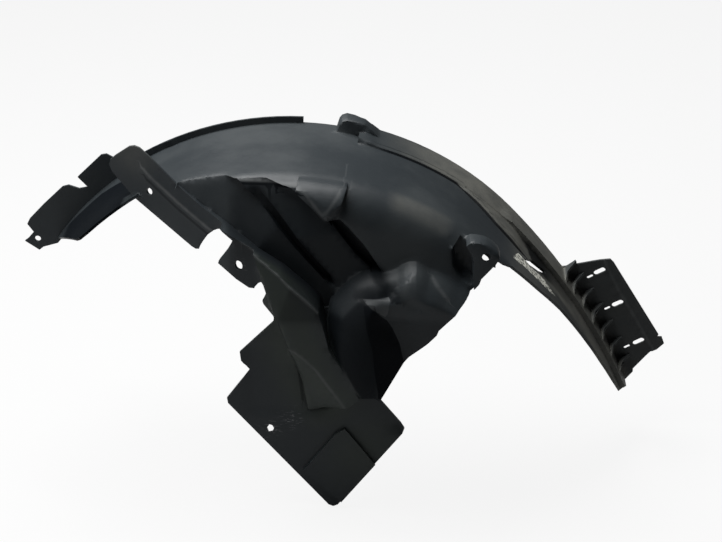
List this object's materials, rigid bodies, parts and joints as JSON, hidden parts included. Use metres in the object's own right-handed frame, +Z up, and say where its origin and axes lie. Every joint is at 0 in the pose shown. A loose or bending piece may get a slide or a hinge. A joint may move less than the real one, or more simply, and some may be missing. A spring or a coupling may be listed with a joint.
{
  "type": "wheel arch liner",
  "caption": "Thin moulded wheel arch liner: a ribbed inner wall with a round bulge, a curved arch with two arms, flanges and slotted bracket.",
  "frame": {"origin": "centre of the main fixing hole, at the outer face of the front flange's tab", "axes": "+X along the car towards the bracket arm, +Z up, +Y out to the side of the car; the wheel's axle is along Y"},
  "size_m": [0.735, 0.226, 0.3842],
  "materials": {
    "liner": "satin black, dusty and scuffed"
  },
  "bodies": {
    "root": {"liner": "liner"}
  },
  "joints": []
}
